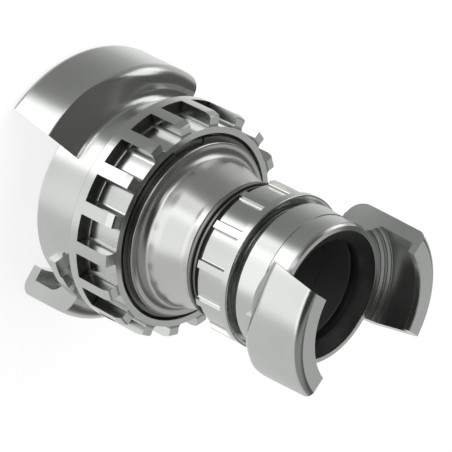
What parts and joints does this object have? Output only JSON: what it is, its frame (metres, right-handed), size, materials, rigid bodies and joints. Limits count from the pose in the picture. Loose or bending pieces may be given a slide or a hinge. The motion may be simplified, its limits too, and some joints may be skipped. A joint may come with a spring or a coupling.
{
  "type": "fire hose reducer",
  "caption": "Reducer between two sizes of symmetrical quarter-turn lug couplings: hooked lugs, ribbed lock rings and lipped mouth seals on swivelling heads round a bell-shaped body.",
  "frame": {"origin": "on the waterway's axis, in the plane of the large coupling's lug tips, on which the part stands", "axes": "+Z along the waterway's axis, from the large mouth towards the small one"},
  "size_m": [0.1546, 0.152, 0.2235],
  "materials": {
    "cast_aluminium": "satin, tumbled casting",
    "ring_aluminium": "satin, tumbled casting",
    "turned_aluminium": "fine turned",
    "spring_wire": "drawn spring wire",
    "black_rubber": "moulded, matt"
  },
  "bodies": {
    "large_coupling": {"large_head": "cast_aluminium", "large_mouth_seal": "black_rubber", "large_stop_wire": "spring_wire"},
    "large_lock": {"large_lock_ring": "ring_aluminium"},
    "body": {"reducing_body": "turned_aluminium", "large_retaining_wire": "spring_wire", "large_o_ring": "black_rubber", "small_o_ring": "black_rubber", "small_retaining_wire": "spring_wire"},
    "small_coupling": {"small_head": "cast_aluminium", "small_mouth_seal": "black_rubber", "small_stop_wire": "spring_wire"},
    "small_lock": {"small_lock_ring": "ring_aluminium"}
  },
  "joints": [
    {"name": "large_swivel", "type": "hinge", "parent": "large_coupling", "child": "body", "pos_m": [0, 0, 0.073], "axis": [0, 0, 1], "continuous": true},
    {"name": "large_lock_turn", "type": "hinge", "parent": "large_coupling", "child": "large_lock", "pos_m": [0, 0, 0.078], "axis": [0, 0, -1], "range_deg": [0, 345]},
    {"name": "small_swivel", "type": "hinge", "parent": "body", "child": "small_coupling", "pos_m": [0, 0, 0.148], "axis": [0, 0, 1], "continuous": true},
    {"name": "small_lock_turn", "type": "hinge", "parent": "small_coupling", "child": "small_lock", "pos_m": [0, 0, 0.15], "axis": [0, 0, 1], "range_deg": [0, 345]}
  ]
}
